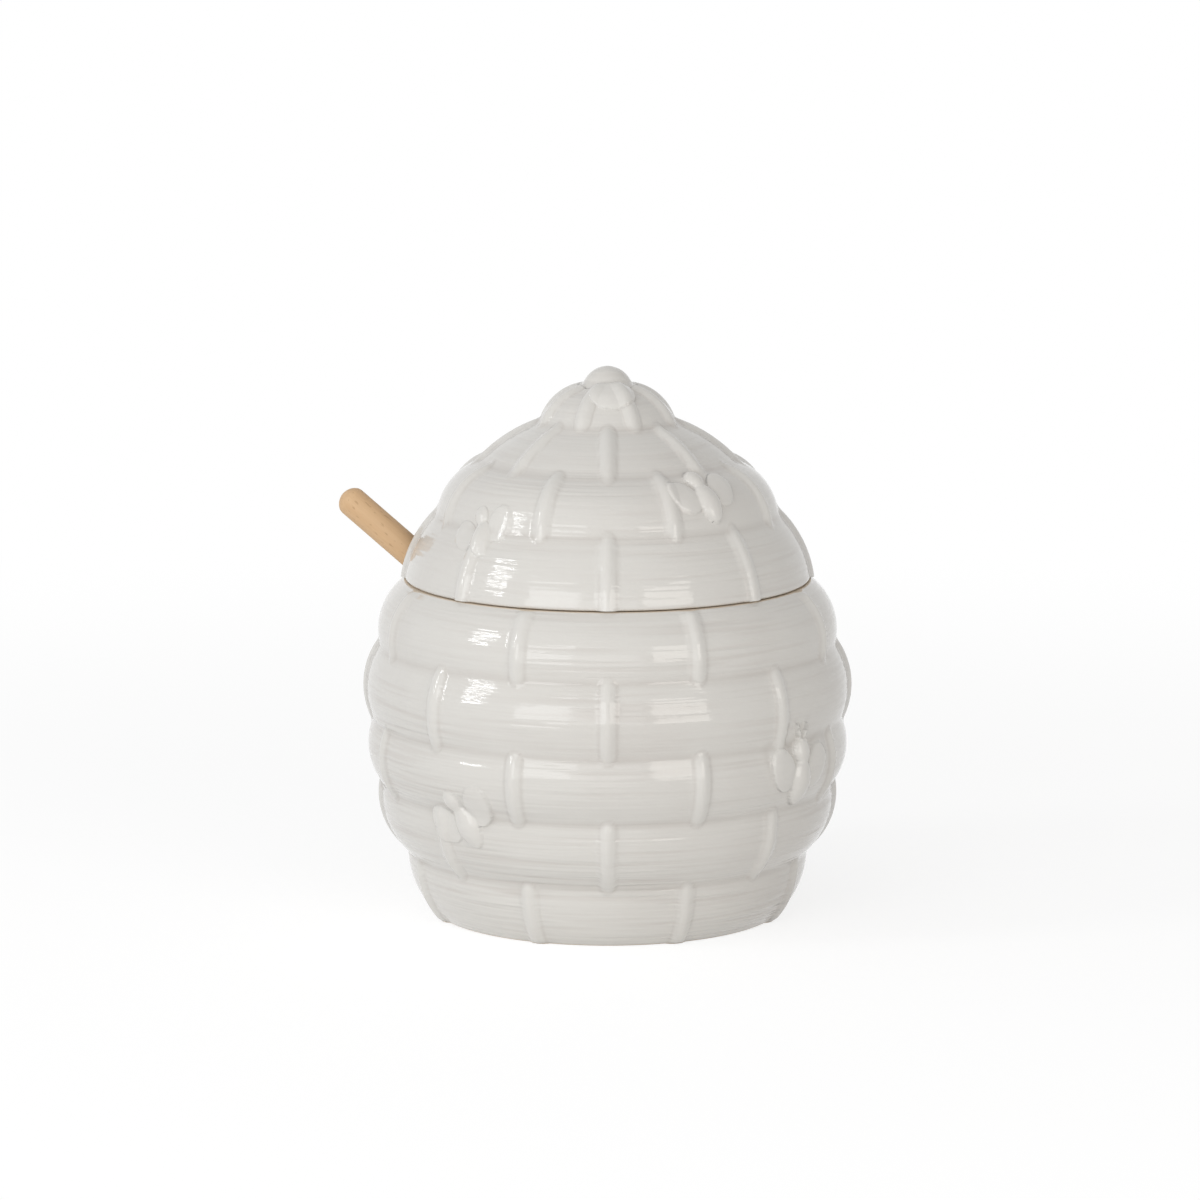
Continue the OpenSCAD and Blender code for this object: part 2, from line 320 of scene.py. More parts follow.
def gatherColumns(piece, gathering=0.5):
    # draws the columns together where the straps of one coil or the next stand
    places = vertexPlaces(piece)
    around = np.arctan2(places[:, 1], places[:, 0])
    reach = np.hypot(places[:, 0], places[:, 1])
    each = 2 * straps["aroundEachCoil"]
    around = around - gathering / each * np.sin(each * around)
    moveVertices(piece, np.stack([reach * np.cos(around), reach * np.sin(around), places[:, 2]], axis=1))


def onTheOutside(places, coils):
    # true for places that lie on the rounds of the coils
    reach = np.hypot(places[:, 0], places[:, 1])
    near = np.zeros(len(places), bool)
    for coil in coils:
        fromCentre = np.hypot(reach - coil["centre"][0], places[:, 2] - coil["centre"][1])
        angle = np.arctan2(places[:, 2] - coil["centre"][1], reach - coil["centre"][0])
        within = (angle > coil["low"] - straps["lap"]) & (angle < coil["high"] + straps["lap"])
        near |= within & (abs(fromCentre - coil["radius"]) < straps["skin"])
    return near


def raiseStraps(places, coils, firstOffset, raised):
    # a strap is a rod bent along its coil, sunk so that only its back shows
    reach = np.hypot(places[:, 0], places[:, 1])
    around = np.arctan2(places[:, 1], places[:, 0])
    move = np.zeros_like(places)
    for number, coil in enumerate(coils):
        offset = (number + firstOffset) % 2 / 2 * strapTurn
        aside = (around - offset + strapTurn / 2) % strapTurn - strapTurn / 2
        across = reach * np.sin(aside)
        out = reach - coil["centre"][0]
        up = places[:, 2] - coil["centre"][1]
        fromCentre = np.hypot(out, up)
        angle = np.arctan2(up, out)
        runOn = straps["runOn"] / coil["radius"]
        rod = np.sqrt(np.clip(straps["radius"] ** 2 - across ** 2, 0, None))
        rod = np.where(abs(across) < straps["radius"], rod, farBelow)
        height = coil["radius"] + straps["rise"] - straps["radius"] + rod - fromCentre
        lift = softLarger(np.maximum(height, farBelow), 0, straps["fillet"])
        lift = np.where((angle > coil["low"] - runOn) & (angle < coil["high"] + runOn), lift, 0)
        lift = np.where(raised, lift, 0)
        outwards = np.stack([out * np.cos(around), out * np.sin(around), up], axis=1)
        move += (lift / fromCentre)[:, None] * outwards
    return move


# each bee: the coil it sits on counted from the lowest, share of the way up it, degrees from +X,
# tilt of the head to the left, slope of the back, lift out of a crease, and size
potBees = [
    {"coil": 2, "up": 0, "turn": 232, "tilt": 30, "slope": -14, "lift": 0.9 * mm, "feelers": False, "size": 1},
    {"coil": 2, "up": 0.6, "turn": 322, "tilt": -3, "slope": -8, "lift": 0, "feelers": True, "size": 1.05},
    {"coil": 3, "up": 0.55, "turn": 78, "tilt": 20, "slope": 5, "lift": 0, "feelers": False, "size": 1},
]
lidBees = [
    {"coil": 1, "up": 0, "turn": 225, "tilt": 24, "slope": 33, "lift": 0.2 * mm, "feelers": False,
     "size": 0.85},
    {"coil": 1, "up": 0.6, "turn": 308, "tilt": 6, "slope": 39, "lift": 0, "feelers": False, "size": 0.95},
    {"coil": 1, "up": 0.5, "turn": 105, "tilt": -25, "slope": 39, "lift": 0, "feelers": False, "size": 0.9},
]
# each part of a bee: place, half sizes, height, turn in degrees, how pointed its ends and how full its
# top is, and how softly it joins the parts above it in this list
beeParts = [
    {"x": 0, "y": -2.7 * mm, "wide": 3.5 * mm, "long": 6.3 * mm, "high": 2.2 * mm, "turn": 0, "point": 1.6,
     "full": 1, "soft": 0.8 * mm},
    {"x": 0, "y": 4.7 * mm, "wide": 2.6 * mm, "long": 3.2 * mm, "high": 1.8 * mm, "turn": 0, "point": 2,
     "full": 1, "soft": 0.9 * mm},
    {"x": -6.5 * mm, "y": 0.4 * mm, "wide": 4 * mm, "long": 5.7 * mm, "high": 0.85 * mm, "turn": 24, "point": 2,
     "full": 1.2, "soft": 0.9 * mm},
    {"x": 6.5 * mm, "y": 0.4 * mm, "wide": 4 * mm, "long": 5.7 * mm, "high": 0.85 * mm, "turn": -24, "point": 2,
     "full": 1.2, "soft": 0.9 * mm},
]
feelerParts = [
    {"x": -1.7 * mm, "y": 9.6 * mm, "wide": 0.45 * mm, "long": 2.6 * mm, "high": 0.4 * mm, "turn": 30,
     "point": 2, "full": 1, "soft": 0.15 * mm},
    {"x": 1 * mm, "y": 9.6 * mm, "wide": 0.45 * mm, "long": 2.6 * mm, "high": 0.4 * mm, "turn": -8,
     "point": 2, "full": 1, "soft": 0.15 * mm},
]
# how far round a form the clay is looked at, how deep, and how closely a form follows the clay's round
formReach = {"around": 15 * mm, "deep": 12 * mm, "follow": 0.6}
fillets = {"lump": 2.4 * mm, "bee": 1.3 * mm, "feeler": 0.3 * mm}
# the soft lump in front of the knob, where two straps meet
capLumps = [{"coil": 3, "up": 0.78, "turn": 272, "tilt": 0, "slope": 48, "lift": 0, "size": 1}]
lumpParts = [
    {"x": 0.8 * mm, "y": 0.6 * mm, "wide": 6 * mm, "long": 5.4 * mm, "high": 1.9 * mm, "turn": 0, "point": 2,
     "full": 1, "soft": 1 * mm},
]


def standOn(coils, form):
    # where a bee or lump sits, with the directions to its right, towards its head and out of the clay
    coil = coils[form["coil"]]
    angle = coil["low"] + (coil["high"] - coil["low"]) * form["up"]
    turn, slope, tilt = [math.radians(form[name]) for name in ("turn", "slope", "tilt")]
    reach = coil["centre"][0] + coil["radius"] * math.cos(angle)
    height = coil["centre"][1] + coil["radius"] * math.sin(angle)
    outwards = np.array([math.cos(turn), math.sin(turn), 0])
    right = np.array([-math.sin(turn), math.cos(turn), 0])
    upright = np.array([0, 0, 1])
    out = outwards * math.cos(slope) + upright * math.sin(slope)
    along = upright * math.cos(slope) - outwards * math.sin(slope)
    place = outwards * reach + upright * height + out * form["lift"]
    towardsRight = right * math.cos(tilt) + along * math.sin(tilt)
    towardsHead = along * math.cos(tilt) - right * math.sin(tilt)
    return place, towardsRight, towardsHead, out


def raiseForms(places, coils, forms, parts, raised, fillet):
    moved = places.copy()
    for form in forms:
        place, right, along, out = standOn(coils, form)
        local = (moved - place) / form["size"]
        x = local @ right
        y = local @ along
        ground = local @ out
        near = raised & (np.hypot(x, y) < formReach["around"]) & (abs(ground) < formReach["deep"])
        top = np.full(len(places), farBelow)
        for part in parts:
            turn = math.radians(part["turn"])
            dx = x - part["x"]
            dy = y - part["y"]
            across = (dx * math.cos(turn) + dy * math.sin(turn)) / part["wide"]
            onward = (dy * math.cos(turn) - dx * math.sin(turn)) / part["long"]
            inside = 1 - across ** 2 - abs(onward) ** part["point"]
            edge = np.clip(1 - inside, 0, 40) * part["high"]
            dome = np.where(inside > 0, np.sqrt(np.clip(inside * part["full"], 0, 1)) * part["high"], -edge)
            top = softLarger(top, dome, part["soft"])
        target = top + ground * formReach["follow"]
        target = np.where(top > 0, np.maximum(target, ground + top * formReach["follow"]), target)
        lift = np.where(near, softLarger(target, ground, fillet) - ground, 0)
        moved += lift[:, None] * out * form["size"]
    return moved


def subdivideNear(piece, coils, forms, reaches):
    # finer faces where a bee or lump stands
    stands = [standOn(coils, form)[0] for form in forms]
    for reach in reaches:
        def chosen(at):
            close = [np.linalg.norm(at - stand, axis=1) < reach for stand in stands]
            return np.any(close, axis=0) & onTheOutside(at, coils)
        selectWhere(piece, chosen)
        bpy.ops.mesh.subdivide(number_cuts=1)
        bpy.ops.object.mode_set(mode="OBJECT")


# how far the painted shade reaches in the creases and along the feet of straps and bees
shadeReach = {"width": 1.1 * mm, "noCrease": 9 * mm, "lap": 0.02, "skin": 1.5 * mm,
              "footShadeHeight": 0.16 * mm, "footShadeWidth": 0.13 * mm}


def keepComb(piece, coils, formed, places):
    # for the glaze: how far each point lies along the outline, how near a crease it is, how far it was
    # raised, and whether it lies at the foot of a strap or bee; the crease and foot values place painted shade
    reach = np.hypot(places[:, 0], places[:, 1])
    around = np.arctan2(places[:, 1], places[:, 0])
    along = places[:, 2].copy()
    hollow = np.zeros(len(places))
    outline = 0
    for number, coil in enumerate(coils):
        angle = np.arctan2(places[:, 2] - coil["centre"][1], reach - coil["centre"][0])
        fromCentre = np.hypot(reach - coil["centre"][0], places[:, 2] - coil["centre"][1])
        within = (angle > coil["low"] - shadeReach["lap"]) & (angle < coil["high"] + shadeReach["lap"])
        within &= abs(fromCentre - coil["radius"]) < shadeReach["skin"]
        along = np.where(within, outline + (angle - coil["low"]) * coil["radius"], along)
        isLast = number == len(coils) - 1
        fromLow = abs(angle - coil["low"]) * coil["radius"] + (shadeReach["noCrease"] if number == 0 else 0)
        fromHigh = abs(coil["high"] - angle) * coil["radius"] + (shadeReach["noCrease"] if isLast else 0)
        # painted shade: a darker colour near each crease, where shade falls
        creaseShading = np.exp(-((np.minimum(fromLow, fromHigh) / shadeReach["width"]) ** 2))
        hollow = np.where(within, creaseShading, hollow)
        outline += (coil["high"] - coil["low"]) * coil["radius"]
    raisedBy = np.linalg.norm(formed - places, axis=1)
    combed = np.stack([reach * np.cos(around), reach * np.sin(around), along], axis=1)
    # painted shade: a thin dark line where a strap or bee meets the coil
    footShade = np.exp(-((raisedBy - shadeReach["footShadeHeight"]) / shadeReach["footShadeWidth"]) ** 2)
    relief = np.stack([hollow, raisedBy / mm, footShade], axis=1)
    for name, values in (("combed", combed), ("relief", relief)):
        layer = piece.data.attributes.new(name, "FLOAT_VECTOR", "POINT")
        layer.data.foreach_set("vector", values.ravel())


def formClay(piece, coils, firstOffset, bees, shape, lumps):
    # the turned blank gets its straps, bees and lumps
    gatherColumns(piece)
    subdivideNear(piece, coils, bees + lumps, shape["fineReaches"])
    places = vertexPlaces(piece)
    raised = onTheOutside(places, coils)
    formed = places + raiseStraps(places, coils, firstOffset, raised)
    formed = raiseForms(formed, coils, lumps, lumpParts, raised, fillets["lump"])
    formed = raiseForms(formed, coils, bees, beeParts, raised, fillets["bee"])
    withFeelers = [bee for bee in bees if bee["feelers"]]
    formed = raiseForms(formed, coils, withFeelers, feelerParts, raised, fillets["feeler"])
    keepComb(piece, coils, formed, places)
    return formed


def finishPiece(piece, node, body):
    makeActive(piece)
    bpy.ops.object.shade_smooth()
    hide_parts(node)
    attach(piece, body)
    print("stage:", piece.name, len(piece.data.vertices), "vertices,",
          sum(len(face.vertices) - 2 for face in piece.data.polygons), "triangles")


# The dipper: a dowel with a domed tip, and a grooved barrel

dipper = {
    "turn": 171,
    "lean": 40.09,
    "headPlace": (32.13 * mm, -5.09 * mm, 21.62 * mm),
    "handleRadius": 3.9 * mm,
    "handleFoot": 2 * mm,
    "handleTip": 134 * mm,
    "handleEdge": 0.4 * mm,
    "rings": 60,
    "ringsFrom": 3 * mm,
    "ringsShortOfTip": 0.6 * mm,
    "domeStep": 0.35 * mm,
    "tipDome": 2.6 * mm,
    "headRadius": 12 * mm,
    "headEndRadius": 7.4 * mm,
    "headHalf": 15 * mm,
    "grooves": 6,
    "grooveWidth": 2.2 * mm,
    "coreRadius": 5.8 * mm,
    "glueGap": 0.05 * mm,
    "ribEdge": 0.55 * mm,
    "ribFoot": 0.35 * mm,
    "endEdge": 1.2 * mm,
    "seat": 0.02 * mm,
    "columns": 96,
    "saddleRadius": 4.2 * mm,
    "saddleFrom": 80 * mm,
    "saddleFillet": 0.5 * mm,
    "notchWidth": 10.6 * mm,
    "notchTop": 99.85 * mm,
}
notchCutter = {
    "sides": 64,
    "depth": 24 * mm,
    "below": 20 * mm,
    "reach": 50 * mm,
    "cutsOut": np.arange(39, 60, 0.6),
    "cutsUp": np.arange(80, 94, 0.6),
    "softEdge": 0.8 * mm,
    "edgeFrom": 40 * mm,
    "softRounds": 6,
}
dipperPlace = (Matrix.Translation(dipper["headPlace"])
               @ Matrix.Rotation(math.radians(dipper["turn"]), 4, "Z")
               @ Matrix.Rotation(math.radians(90 - dipper["lean"]), 4, "Y"))


def roundedPath(points, radii, steps=3):
    # a path of straight stretches with each inner corner rounded
    path = [points[0]]
    for before, at, after, radius in zip(points, points[1:], points[2:], radii):
        path += corner([before, at, after], radius, steps)
    return path + [points[-1]]


def handlePath():
    radius = dipper["handleRadius"]
    dome = dipper["tipDome"]
    ball = (radius ** 2 + dome ** 2) / (2 * dome)
    centre = dipper["handleTip"] - ball
    edge = math.asin(radius / ball) if ball > radius else math.pi / 2
    shoulder = dipper["handleTip"] - dome
    cap = arcPoints(np.array([0, centre]), ball, math.pi / 2 - edge, math.pi / 2, dipper["domeStep"])
    foot = dipper["handleFoot"]
    path = roundedPath([(0, foot), (radius, foot), (radius, shoulder)], [dipper["handleEdge"]])[:-1]
    rings = np.linspace(foot + dipper["ringsFrom"], shoulder - dipper["ringsShortOfTip"], dipper["rings"])
    path += [(radius, height) for height in rings]
    turned = softened(np.array([path[-1]] + cap), 3)
    return path + [tuple(point) for point in turned[1:-1]] + [(0, dipper["handleTip"])]


def headPath():
    half = dipper["headHalf"]
    sag = dipper["headRadius"] - dipper["headEndRadius"]
    side = (half ** 2 + sag ** 2) / (2 * sag)

    def barrel(height):
        return dipper["headRadius"] - side + math.sqrt(side ** 2 - height ** 2)

    pitch = (2 * half - dipper["grooveWidth"]) / (dipper["grooves"] + 1)
    points = [(0, -half), (barrel(half), -half)]
    radii = [dipper["endEdge"]]
    for number in range(1, dipper["grooves"] + 1):
        low = pitch * number - half
        high = low + dipper["grooveWidth"]
        points += [(barrel(low), low), (dipper["coreRadius"], low)]
        points += [(dipper["coreRadius"], high), (barrel(high), high)]
        radii += [dipper["ribEdge"], dipper["ribFoot"], dipper["ribFoot"], dipper["ribEdge"]]
    hole = dipper["handleRadius"] + dipper["glueGap"]
    holeEnd = dipper["handleFoot"] - dipper["seat"]
    points += [(barrel(half), half), (hole, half), (hole, holeEnd), (0, holeEnd)]
    radii += [dipper["endEdge"], 0.2 * mm, 0.1 * mm]
    return roundedPath(points, radii)


def placeDipper(piece):
    # keeps the turned place for the grain, then lays the piece along the dipper
    places = vertexPlaces(piece)
    layer = piece.data.attributes.new("grain", "FLOAT_VECTOR", "POINT")
    layer.data.foreach_set("vector", places.ravel())
    turned = places @ np.array(dipperPlace.to_3x3()).T + np.array(dipperPlace.translation)
    moveVertices(piece, turned)


def slotSide(places):
    # sideways from the dipper's upright plane, outwards along it, and height
    turn = math.radians(dipper["turn"])
    return (places[:, 1] * math.cos(turn) - places[:, 0] * math.sin(turn),
            places[:, 0] * math.cos(turn) + places[:, 1] * math.sin(turn), places[:, 2])


def subdivideAt(piece, sideways, low, high, times):
    for _ in range(times):
        def chosen(at):
            side, outward, height = slotSide(at)
            return (abs(side) < sideways) & (outward > 0) & (height > low) & (height < high)
        selectWhere(piece, chosen)
        bpy.ops.mesh.subdivide(number_cuts=1)
        bpy.ops.object.mode_set(mode="OBJECT")


def pressSaddle(places):
    # the handle's groove across the rim
    lean = math.radians(dipper["lean"])
    side, outward, height = slotSide(places)
    start = np.array(dipper["headPlace"])
    turn = math.radians(dipper["turn"])
    startOut = start[0] * math.cos(turn) + start[1] * math.sin(turn)
    axisHeight = start[2] + (outward - startOut) * math.tan(lean)
    radius = dipper["saddleRadius"]
    under = axisHeight - np.sqrt(np.clip(radius ** 2 - side ** 2, 0, None)) / math.cos(lean)
    near = (abs(side) < radius) & (outward > 0) & (height > dipper["saddleFrom"])
    pressed = np.where(near, -softLarger(-height, -under, dipper["saddleFillet"]), height)
    places = places.copy()
    places[:, 2] = np.minimum(height, pressed)
    return places


def cutNotch(piece):
    # a round-topped slot through the lid's edge, open below, its edges softened by glaze
    half = dipper["notchWidth"] / 2
    roundHeight = dipper["notchTop"] - half
    deselectAll()
    bpy.ops.mesh.primitive_cylinder_add(vertices=notchCutter["sides"], radius=half,
                                        depth=notchCutter["depth"], end_fill_type="NGON",
                                        location=(0, 0, 0), rotation=(0, math.pi / 2, 0))
    cutter = bpy.context.object
    bpy.ops.object.transform_apply(location=False, rotation=True, scale=True)
    places = vertexPlaces(cutter)
    lower = places[:, 2] < -0.01 * mm
    places[:, 2] = np.where(lower, -notchCutter["below"], places[:, 2]) + roundHeight
    places[:, 0] += notchCutter["reach"]
    turn = math.radians(dipper["turn"])
    spin = np.array([[math.cos(turn), -math.sin(turn), 0],
                     [math.sin(turn), math.cos(turn), 0],
                     [0, 0, 1]])
    moveVertices(cutter, places @ spin.T)
    makeActive(cutter)
    bpy.ops.object.mode_set(mode="EDIT")
    bpy.ops.mesh.select_all(action="SELECT")
    bpy.ops.mesh.remove_doubles(threshold=0.00001)
    outward = (math.cos(turn), math.sin(turn), 0)
    for reach in notchCutter["cutsOut"]:
        bpy.ops.mesh.select_all(action="SELECT")
        bpy.ops.mesh.bisect(plane_co=[part * reach * mm for part in outward], plane_no=outward)
    for height in notchCutter["cutsUp"]:
        bpy.ops.mesh.select_all(action="SELECT")
        bpy.ops.mesh.bisect(plane_co=(0, 0, height * mm), plane_no=(0, 0, 1))
    bpy.ops.mesh.select_all(action="SELECT")
    bpy.ops.mesh.normals_make_consistent(inside=False)
    bpy.ops.object.mode_set(mode="OBJECT")
    makeActive(piece)
    cut = piece.modifiers.new("notch", "BOOLEAN")
    cut.operation = "DIFFERENCE"
    cut.solver = "EXACT"
    cut.object = cutter
    bpy.ops.object.modifier_apply(modifier="notch")
    bpy.data.objects.remove(cutter)

    def nearEdge(at):
        side, outward, height = slotSide(at)
        over = np.hypot(side, np.clip(height - roundHeight, 0, None)) - half
        besideNotch = (outward > notchCutter["edgeFrom"]) & (height < dipper["notchTop"] + 1 * mm)
        return (abs(over) < notchCutter["softEdge"]) & besideNotch
    selectWhere(piece, nearEdge, "VERT")
    bpy.ops.mesh.vertices_smooth(factor=0.5, repeat=notchCutter["softRounds"])
    bpy.ops.object.mode_set(mode="OBJECT")


potPiece = spunPiece("pot_shell", potPath(), pot["columns"])
formed = formClay(potPiece, potCoils, 1, potBees, pot, [])
moveVertices(potPiece, np.clip(formed, [-1, -1, 0], [1, 1, pot["height"]]))
subdivideAt(potPiece, 6 * mm, 83 * mm, 90 * mm, 2)
moveVertices(potPiece, pressSaddle(vertexPlaces(potPiece)))
finishPiece(potPiece, "pot", "pot")

lidPiece = spunPiece("lid_shell", lidPath(), lid["columns"])
formed = formClay(lidPiece, lidCoils, 0, lidBees, lid, capLumps)
moveVertices(lidPiece, formed)
subdivideAt(lidPiece, 7 * mm, 80 * mm, 102 * mm, 1)
cutNotch(lidPiece)
finishPiece(lidPiece, "lid", "lid")

handlePiece = spunPiece("dipper_shank", handlePath(), dipper["columns"])
placeDipper(handlePiece)
finishPiece(handlePiece, "dipper_handle", "dipper")
headPiece = spunPiece("dipper_barrel", headPath(), dipper["columns"])
placeDipper(headPiece)
finishPiece(headPiece, "dipper_head", "dipper")


# Materials: thick off-white glaze and turned wood

class Value:
    # a socket that takes part in shader maths
    def __init__(self, recipe, socket):
        self.recipe = recipe
        self.socket = socket

    def maths(self, operation, first, second):
        return self.recipe.make("Math", {"operation": operation}, {0: first, 1: second})

    def __add__(self, other):
        return self.maths("ADD", self, other)

    def __sub__(self, other):
        return self.maths("SUBTRACT", self, other)

    def __rsub__(self, other):
        return self.maths("SUBTRACT", other, self)

    def __mul__(self, other):
        return self.maths("MULTIPLY", self, other)

    __radd__ = __add__
    __rmul__ = __mul__

    def step(self, low, high):
        # 0 below low, 1 above high, and smooth between them
        return self.recipe.make("MapRange", {"interpolation_type": "SMOOTHSTEP"},
                                {"Value": self, "From Min": low, "From Max": high})


class Recipe:
    # the nodes of a material or of the world, and the one way they are made
    def __init__(self, owner):
        self.owner = owner
        owner.use_nodes = True
        self.tree = owner.node_tree
        self.shader = self.tree.nodes.get("Principled BSDF")

    def make(self, kind, settings, inputs, output=0):
        node = self.tree.nodes.new("ShaderNode" + kind)
        for name, value in settings.items():
            setattr(node, name, value)
        for name, value in inputs.items():
            self.feed(node.inputs[name], value)
        return Value(self, node.outputs[output])

    def feed(self, socket, value):
        if isinstance(value, Value):
            self.tree.links.new(value.socket, socket)
        elif socket.type == "RGBA":
            socket.default_value = (*value, 1)
        else:
            socket.default_value = value

    def mixed(self, factor, first, second):
        return self.make("Mix", {"data_type": "RGBA"}, {0: factor, 6: first, 7: second}, 2)

    def noise(self, place, stretch, detail, roughness):
        stretched = self.make("VectorMath", {"operation": "MULTIPLY"}, {0: place, 1: stretch})
        return self.make("TexNoise", {}, {"Vector": stretched, "Scale": 1, "Detail": detail,
                                          "Roughness": roughness})

    def parts(self, vector):
        split = self.make("SeparateXYZ", {}, {0: vector}).socket.node
        return [Value(self, output) for output in split.outputs]


glazeLook = {
    "colour": (0.755, 0.735, 0.695),
    "streak": (0.655, 0.615, 0.575),
    # painted shade, for the creases and the feet of straps and bees
    "paintedShade": (0.50, 0.455, 0.415),
    # lighter tone for raised tops: thinner glaze, with a painted highlight
    "thinGlazeAndHighlight": (0.79, 0.765, 0.725),
    "clay": (0.72, 0.62, 0.50),
    "roughness": 0.07,
    "combDepth": 1 * mm,
    "peelDepth": 0.05 * mm,
    "streakWaves": (26, 26, 760),
    "broadWaves": (22, 22, 420),
    "strengthWaves": (30, 30, 60),
    "cloudWaves": (28, 28, 28),
    "peelWaves": (420, 420, 420),
    "wornShare": 0.8,
    "cloudShare": 0.3,
    "thinGlazeAndHighlightShare": 0.15,
    "creaseShadeShare": 0.3,
    "footShadeShare": 0.28,
    "bareRoughness": 0.6,
    "cloudRoughness": 0.06,
}
woodLook = {
    "pale": (0.74, 0.50, 0.285),
    "dark": (0.64, 0.40, 0.21),
    "pores": (0.40, 0.22, 0.10),
    "roughness": 0.5,
    "grainDepth": 0.06 * mm,
    "bandWaves": (260, 420, 9),
    "fibreWaves": (2600, 2600, 60),
    "poreWaves": (1300, 1300, 420),
}


def glazeMaterial(name, bareClay):
    # bareClay says where the glaze is wiped off, from the object's own coordinates
    recipe = Recipe(bpy.data.materials.new(name))
    objectPlace = recipe.make("TexCoord", {}, {}, 3)
    combed = recipe.make("Attribute", {"attribute_name": "combed"}, {}, 1)
    hollow, raisedBy, footShade = recipe.parts(recipe.make("Attribute", {"attribute_name": "relief"}, {}, 1))
    streaks = recipe.noise(combed, glazeLook["streakWaves"], 1, 0.5)
    broad = recipe.noise(combed, glazeLook["broadWaves"], 2, 0.5)
    strength = recipe.noise(combed, glazeLook["strengthWaves"], 1, 0.5).step(0.3, 0.75)
    cloud = recipe.noise(objectPlace, glazeLook["cloudWaves"], 2, 0.5)
    peel = recipe.noise(objectPlace, glazeLook["peelWaves"], 1, 0.5)
    smoothed = 1 - raisedBy.step(0.1, 0.9) * 0.75
    z = recipe.parts(objectPlace)[2]
    lower = 1 - z.step(0.01, 0.12) * 0.5
    comb = (streaks * 0.6 + broad * 0.4) * smoothed * (strength * 0.7 + 0.3) * lower
    worn = (1 - streaks.step(0.3, 0.52)) * (strength * 0.7 + 0.3) * lower * smoothed
    colour = recipe.mixed(worn * glazeLook["wornShare"], glazeLook["colour"], glazeLook["streak"])
    colour = recipe.mixed(cloud.step(0.45, 0.75) * glazeLook["cloudShare"], colour, glazeLook["streak"])
    # raised tops lighter: thinner glaze, with a painted highlight
    colour = recipe.mixed(raisedBy.step(0.5, 1.3) * glazeLook["thinGlazeAndHighlightShare"], colour, glazeLook["thinGlazeAndHighlight"])
    # painted shade darkens the colour near the creases, less on raised forms
    paintedShade = hollow * glazeLook["creaseShadeShare"] * (1 - raisedBy.step(0.3, 1))
    colour = recipe.mixed(paintedShade, colour, glazeLook["paintedShade"])
    # painted shade along the feet of straps and bees
    colour = recipe.mixed(footShade * glazeLook["footShadeShare"], colour, glazeLook["paintedShade"])
    bare = bareClay(recipe, objectPlace)
    colour = recipe.mixed(bare, colour, glazeLook["clay"])
    recipe.feed(recipe.shader.inputs["Base Color"], colour)
    smooth = glazeLook["roughness"] - glazeLook["cloudRoughness"] / 2
    roughness = bare * glazeLook["bareRoughness"] + cloud * glazeLook["cloudRoughness"] + smooth
    recipe.feed(recipe.shader.inputs["Roughness"], roughness)
    bump = recipe.make("Bump", {}, {"Strength": 1, "Distance": glazeLook["combDepth"], "Height": comb})
    bump = recipe.make("Bump", {}, {"Strength": 1, "Distance": glazeLook["peelDepth"], "Height": peel,
                                    "Normal": bump})
    recipe.feed(recipe.shader.inputs["Normal"], bump)
    return recipe.owner


def potBare(recipe, place):
    # the foot ring and the top of the rim
    z = recipe.parts(place)[2]
    return 1 - z.step(0.15 * mm, 0.4 * mm) + z.step(87.2 * mm, 87.36 * mm)


def lidBare(recipe, place):
    # the edge that rests on the rim
    z = recipe.parts(place)[2]
    return z.step(87.2 * mm, 87.5 * mm) * (1 - z.step(87.66 * mm, 87.9 * mm))


def woodMaterial(name, shift):
    recipe = Recipe(bpy.data.materials.new(name))
    grain = recipe.make("Attribute", {"attribute_name": "grain"}, {}, 1)
    grain = recipe.make("VectorMath", {"operation": "ADD"}, {0: grain, 1: shift})
    bands = recipe.noise(grain, woodLook["bandWaves"], 3, 0.55)
    fibres = recipe.noise(grain, woodLook["fibreWaves"], 2, 0.6)
    pores = recipe.noise(grain, woodLook["poreWaves"], 1, 0.5).step(0.63, 0.72)
    colour = recipe.mixed(bands.step(0.3, 0.75) * 0.6, woodLook["pale"], woodLook["dark"])
    colour = recipe.mixed(fibres.step(0.4, 0.75) * 0.3, colour, woodLook["dark"])
    colour = recipe.mixed(pores * 0.45, colour, woodLook["pores"])
    recipe.feed(recipe.shader.inputs["Base Color"], colour)
    recipe.feed(recipe.shader.inputs["Roughness"], bands * 0.12 + woodLook["roughness"])
    bump = recipe.make("Bump", {}, {"Strength": 1, "Distance": woodLook["grainDepth"],
                                    "Height": fibres * 0.6 - pores * 0.5})
    recipe.feed(recipe.shader.inputs["Normal"], bump)
    return recipe.owner


potPiece.data.materials.append(glazeMaterial("potGlaze", potBare))
lidPiece.data.materials.append(glazeMaterial("lidGlaze", lidBare))
handlePiece.data.materials.append(woodMaterial("handleWood", (0.013, 0.02, 0.11)))
headPiece.data.materials.append(woodMaterial("headWood", (0.041, 0.007, 0.31)))
print("stage: materials made")


# Camera, floor and light

